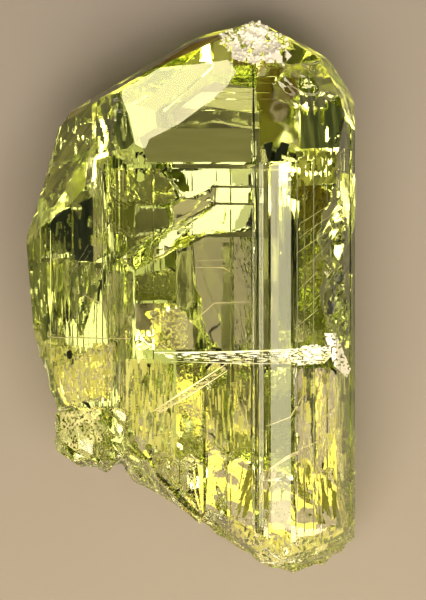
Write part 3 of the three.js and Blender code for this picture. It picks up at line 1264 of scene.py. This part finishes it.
# Painted shade over olive places at the upper left and the upper right.
OLIVE_SHADE_FILMS = (
    Film(
        ((-6.05, 8.1), (-4.6, 9.1), (-4.5, 7.0), (-5.2, 6.6), (-5.8, 6.3), (-6.45, 6.3)),
        fine=0.1, gaps=0.2, hole=(0.12, 0.5),
    ),
    Film(
        ((-6.5, 6.1), (-5.2, 6.3), (-5.6, 5.3), (-6.3, 4.2), (-6.85, 4.0), (-6.75, 5.4)),
        fine=0.1, gaps=0.25, hole=(0.12, 0.5),
    ),
    Film(
        ((4.9, 6.75), (6.95, 6.75), (7.05, 5.3), (4.9, 5.1)),
        under=0.03, fine=0.1, gaps=0.35, hole=(0.12, 0.5),
    ),
)
# Painted shade along the upper left edge.
EDGE_SHADE_FILM = Film.stroke(
    (-6.55, 7.75), (-5.4, 8.75), (-3.8, 9.8), (-1.9, 10.85), (0.4, 11.95), (1.9, 12.4), width=0.5
)
# Painted shade in the band just below the terrace.
GREY_GREEN_SHADE_FILM = Film(((-2.4, 7.35), (-1.7, 7.8), (2.8, 7.8), (2.8, 6.2), (-2.0, 6.2)), under=0.15)
LEDGE_FILMS = (
    Film(
        ((-6.1, -5.4), (-4.3, -5.2), (-4.1, -6.7), (-5.4, -7.2), (-6.1, -6.7)),
        under=-0.01, fine=0.07, gaps=0.45, hole=(0.1, 0.14),
    ),
)
PALE_FILMS = (
    Film.stroke((-3.9, 1.6), (-5.9, -1.6), width=0.05),
    Film.stroke((-4.6, 2.6), (-5.6, 0.9), width=0.04),
    Film.stroke((-4.4, 2.4), (-5.7, 0.5), width=0.035),
    Film.stroke((-4.3, 1.9), (-5.2, 0.4), width=0.035),
    Film.stroke((-4.2, 1.3), (-5.0, -0.2), width=0.035),
    Film.stroke((-5.6, 0.5), (-4.6, -0.1), (-4.0, -0.35), width=0.05),
    Film.stroke((0.2, -1.1), (1.1, -0.3), (2.8, -0.25), width=0.07),
    Film.stroke((0.1, 1.35), (1.5, 1.35), (1.9, 1.1), width=0.06),
    Film.stroke((0.1, 1.65), (1.6, 1.7), width=0.04),
    Film.stroke((-6.6, -1.9), (-2.8, -1.95), width=0.16),
    Film.stroke((3.5, -8.1), (4.4, -7.5), (5.9, -6.7), width=0.16),
    Film.stroke((5.9, -6.6), (6.4, -5.5), (6.9, -4.9), width=0.05),
    Film.stroke((5.9, -5.5), (5.9, -11.0), width=0.06),
    Film.stroke((3.5, -6.0), (4.6, -5.6), (5.3, -4.4), width=0.07),
    Film.stroke((1.2, 8.25), (2.15, 7.7), width=0.06),
    Film.stroke((5.1, 3.4), (6.5, 4.3), width=0.05, under=0.1),
    Film.stroke((5.0, 2.7), (6.5, 3.8), width=0.05, under=0.1),
    Film.stroke((4.9, 2.0), (6.3, 3.0), width=0.06, under=0.1),
    Film.stroke((5.1, 1.2), (6.2, 2.2), width=0.04, under=0.1),
    Film.stroke((5.0, 0.3), (5.9, 1.2), width=0.06, under=0.1),
    Film.stroke((5.2, -0.7), (6.0, 0.1), width=0.05, under=0.1),
    Film.stroke((4.8, -1.5), (5.9, -0.6), width=0.06, under=0.1),
)
# Painted light: the golden glow along the foot's lower edge, across the lower part and in the
# glitter.
GOLDEN_GLOW_FILMS = (
    Film(
        (
            (1.75, -10.9), (2.85, -11.65), (3.35, -11.9), (4.65, -12.0), (6.05, -11.6),
            (7.2, -10.9), (7.2, -10.5), (5.1, -11.0), (3.35, -11.1), (1.75, -10.15),
        ),
        fine=0.1, gaps=0.47, hole=(0.12, 0.4),
    ),
    Film(
        ((0.0, -4.6), (2.8, -3.7), (2.85, -6.7), (1.8, -7.2), (0.4, -6.3)),
        fine=0.08, gaps=0.66, hole=(0.09, 0.9),
    ),
    Film(
        ((5.1, -3.5), (7.2, -3.6), (7.2, -8.6), (5.1, -8.6)),
        fine=0.08, gaps=0.64, hole=(0.09, 1.2),
    ),
    Film(
        ((-6.6, -2.4), (-4.0, -2.1), (-3.5, -3.0), (-3.9, -4.6), (-5.6, -5.1), (-6.3, -3.8)),
        fine=0.07, gaps=0.44, hole=(0.09, 0.3),
    ),
    Film(
        ((-3.1, -2.9), (-1.4, -2.9), (-0.5, -4.6), (-0.7, -7.6), (-2.6, -6.4), (-3.2, -4.6)),
        fine=0.08, gaps=0.5, hole=(0.09, 0.9),
    ),
    Film(
        ((-1.7, -0.5), (-0.2, -0.7), (-0.1, -2.4), (-1.8, -2.45), (-1.9, -1.5)),
        fine=0.07, gaps=0.58, hole=(0.12, 0.12),
    ),
)
RUSTY_FILM = Film(((2.0, 11.2), (4.0, 11.3), (3.9, 10.8), (3.0, 10.4), (2.2, 10.7)), under=0.15)
HEALED_FILMS = (
    Film(
        (
            (-1.6, -2.6), (2.0, -2.55), (4.3, -2.45), (4.3, -3.1), (2.0, -3.05),
            (-0.3, -2.95), (-1.4, -2.8),
        ),
        under=-0.015, fine=0.05, gaps=0.6, hole=(0.4, 0.045),
    ),
    Film(
        ((4.1, -2.45), (6.3, -2.3), (6.6, -2.7), (6.2, -3.1), (4.9, -3.2), (4.1, -3.05)),
        under=-0.015, fine=0.05, gaps=0.42, hole=(0.15, 0.06),
    ),
    Film.stroke((-1.7, -2.6), (2.0, -2.57), (5.9, -2.4), width=0.09, under=-0.02),
    Film.stroke((-0.9, -3.0), (2.0, -3.1), (4.3, -3.12), width=0.04, under=-0.02),
)
SLANT_FILMS = (
    Film.stroke((-1.7, -5.3), (-0.3, -4.38), (1.6, -3.15), width=0.08, under=-0.01),
    Film.stroke((-1.5, -5.42), (0.2, -4.42), (1.75, -3.4), width=0.05, under=-0.01),
    Film(
        ((-1.6, -5.3), (-0.2, -4.4), (1.6, -3.25), (1.6, -3.4), (0.2, -4.4), (-1.4, -5.38)),
        under=0.02, fine=0.05, gaps=0.5, hole=(0.2, 0.09),
    ),
)
WHITE_FILMS = (
    Film(
        ((6.2, -1.7), (6.75, -1.7), (7.5, -3.4), (7.3, -3.8), (6.65, -3.2)),
        under=-0.02, fine=0.07, gaps=0.3, hole=(0.12, 0.12),
    ),
    Film(
        ((5.1, -2.3), (6.0, -2.2), (6.1, -2.9), (5.3, -3.0)),
        under=-0.02, fine=0.07, gaps=0.38, hole=(0.12, 0.12),
    ),
    Film(
        (
            (1.75, 11.8), (2.55, 12.75), (3.35, 12.95), (3.95, 12.3), (4.75, 11.35),
            (4.4, 11.0), (2.8, 11.0), (1.95, 11.2),
        ),
        under=-0.03, fine=0.12, gaps=0.35,
    ),
)
FILM_PIECES = (
    Films("dark_films", GRAPHITE_AND_SHADE, DARK_FILMS),
    Films("painted_dark_green_shade_films", DARK_GREEN_SHADE, DARK_GREEN_SHADE_FILMS),
    Films("painted_olive_shade_films", OLIVE_SHADE, OLIVE_SHADE_FILMS),
    Films("painted_edge_shade_film", EDGE_SHADE, (EDGE_SHADE_FILM,)),
    Films("painted_grey_green_shade_film", GREY_GREEN_SHADE, (GREY_GREEN_SHADE_FILM,)),
    Films("painted_golden_glow_films", GOLDEN_GLOW, GOLDEN_GLOW_FILMS),
    Films("ledge_films", LEDGE, LEDGE_FILMS),
    Films("pale_films", PALE, PALE_FILMS + SLANT_FILMS),
    Films("healed_films", HEALED, HEALED_FILMS),
    Films("white_films", WHITE, WHITE_FILMS),
)
HEALED_CHIPS = Chips("healed_chips", SUGAR, size=0.05, per_mm2=25.0, seed=2)
RUSTY_GRAINS = Chips("rusty_grains", RUST, size=0.06, per_mm2=90.0, seed=3)
SUGAR_CHIPS = Chips("sugar_chips", SUGAR, size=0.15, per_mm2=28.0, seed=5)
# Crumbs on the foot's break, painted bright as the foot's glow.
FOOT_CHIPS = Chips("foot_chips", HONEY_GLOW, size=0.05, per_mm2=20.0, seed=6)
PEAK_BOX = ((-9.0, 10.9, 3.0), (4.6, 14.0, 9.0))
FOOT_BOX = ((-8.0, -13.2, 0.6), (8.0, -5.0, 9.0))
PEAK_LIFT, FOOT_LIFT = 0.03, -0.03


# ---- The studio ----


@dataclass(frozen=True)
class Softbox:
    """A soft rectangular light that faces the crystal.

    Args:
        name: its name.
        place: its centre, in metres.
        size: its width and height, in metres.
        radiance: how bright its face is.
        colour: the light's colour.
    """

    name: str
    place: Point
    size: Flat
    radiance: float
    colour: Colour = (1.0, 0.84, 0.62)

    def build(self) -> None:
        """Sets up the light."""
        lamp = bpy.data.lights.new(self.name, "AREA")
        lamp.shape = "RECTANGLE"
        lamp.size, lamp.size_y = self.size
        lamp.energy = self.radiance * math.pi * self.size[0] * self.size[1]
        lamp.color = self.colour
        made = bpy.data.objects.new(self.name, lamp)
        made.location = self.place
        made.rotation_mode = "QUATERNION"
        made.rotation_quaternion = (-Vector(self.place)).to_track_quat("-Z", "Y")
        made.visible_camera = False
        bpy.context.scene.collection.objects.link(made)


LIGHTS = (
    Softbox("foot_low", (0.0, -0.20, 0.045), (0.34, 0.09), 2.1, (1.0, 0.77, 0.13)),
    Softbox("foot_high", (0.0, -0.22, 0.19), (0.34, 0.16), 1.7, (1.0, 0.81, 0.32)),
    Softbox("top_foot", (0.0, -0.10, 0.27), (0.26, 0.16), 10.0),
    Softbox("near_foot", (0.005, -0.052, 0.036), (0.08, 0.02), 4.0, (1.0, 0.8, 0.36)),
    Softbox("right_low", (0.24, -0.03, 0.04), (0.36, 0.064), 1.75, (1.0, 0.91, 0.62)),
    Softbox("right_mid", (0.22, -0.02, 0.12), (0.24, 0.08), 0.72, (1.0, 0.93, 0.5)),
    Softbox("head_low", (0.03, 0.28, 0.03), (0.26, 0.04), 3.1),
    Softbox("gleam", (-0.003, 0.247, 0.115), (0.05, 0.024), 9.5, (1.0, 0.90, 0.55)),
    Softbox("strip", (0.14, -0.0045, 0.27), (0.04, 0.028), 6.0, (1.0, 0.92, 0.6)),
    Softbox("spark", (0.149, 0.213, 0.065), (0.05, 0.04), 7.5, (1.0, 0.92, 0.8)),
)


@dataclass(frozen=True)
class Studio:
    """Floor, lights, room and camera.

    Args:
        floor: finish of the floor.
        lights: the softboxes.
        floor_size: length of the floor's sides, in metres.
        floor_gap: how far the floor lies below the crystal, in metres.
        ambient: brightness of the room.
        room_colour: colour of the room's light.
        lens: focal length in millimetres.
        sensor: width of the camera's sensor in millimetres.
        height: the camera's height in metres.
        centre: the point that the camera looks straight down on, in metres.
        clip: nearest and farthest distance that the camera sees, in metres.
        bounces: the most bounces of a path of light, which the gem may use up.
        glossy_bounces: the most mirrorings among them.
        diffuse_bounces: the most bounces off dull surfaces among them.
    """

    floor: PlainFinish
    lights: tuple[Softbox, ...]
    floor_size: float = 2.4
    floor_gap: float = 0.00002
    ambient: float = 0.03
    room_colour: Colour = (1.0, 0.86, 0.66)
    lens: float = 293.0
    sensor: float = 36.0
    height: float = 0.235
    centre: Flat = (0.001034, -0.00016)
    clip: Flat = (0.01, 10.0)
    bounces: int = 24
    glossy_bounces: int = 16
    diffuse_bounces: int = 3

    def build(self) -> None:
        """Sets up the whole studio."""
        self._add_floor()
        for light in self.lights:
            light.build()
        self._add_room()
        self._add_camera()
        self._set_light_paths()
        log.info("studio: %d lights", len(self.lights))

    def _add_floor(self) -> None:
        """Lays the floor."""
        place = (0, 0, -self.floor_gap)
        bpy.ops.mesh.primitive_plane_add(size=self.floor_size, location=place)
        ground = bpy.context.object
        ground.name = "floor"
        ground.data.materials.append(self.floor.material())

    def _add_room(self) -> None:
        """Sets up the dim light that comes from all sides."""
        room = bpy.data.worlds.new("room")
        room.use_nodes = True
        sky = room.node_tree.nodes["Background"]
        sky.inputs["Color"].default_value = (*self.room_colour, 1)
        sky.inputs["Strength"].default_value = self.ambient
        bpy.context.scene.world = room

    def _add_camera(self) -> None:
        """Hangs the camera over the crystal."""
        scene = bpy.context.scene
        camera = bpy.data.cameras.new("camera")
        camera.lens = self.lens
        camera.sensor_width = self.sensor
        camera.clip_start, camera.clip_end = self.clip
        eye = bpy.data.objects.new("camera", camera)
        eye.location = (*self.centre, self.height)
        scene.collection.objects.link(eye)
        scene.camera = eye
        scene.view_settings.view_transform = "Standard"

    def _set_light_paths(self) -> None:
        """Lets light bounce often enough to find its way through the gem."""
        paths = bpy.context.scene.cycles
        paths.max_bounces = self.bounces
        paths.transmission_bounces = self.bounces
        paths.glossy_bounces = self.glossy_bounces
        paths.diffuse_bounces = self.diffuse_bounces


def main() -> None:
    """Builds everything, in order."""
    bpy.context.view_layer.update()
    # Without a seed of its own, noise_vector starts from the clock.
    noise.seed_set(NOISE_SEED)
    crystal = Crystal(CrystalFinish())
    body = crystal.build()
    for piece in FILM_PIECES:
        piece.build(body)
    HEALED_CHIPS.strew(film_mesh(HEALED_FILMS, body))
    RUSTY_GRAINS.strew(film_mesh((RUSTY_FILM,), body))
    SUGAR_CHIPS.strew(crystal.break_between(*PEAK_BOX, PEAK_LIFT))
    FOOT_CHIPS.strew(crystal.break_between(*FOOT_BOX, FOOT_LIFT))
    Studio(FLOOR, LIGHTS).build()


if __name__ == "__main__":
    main()
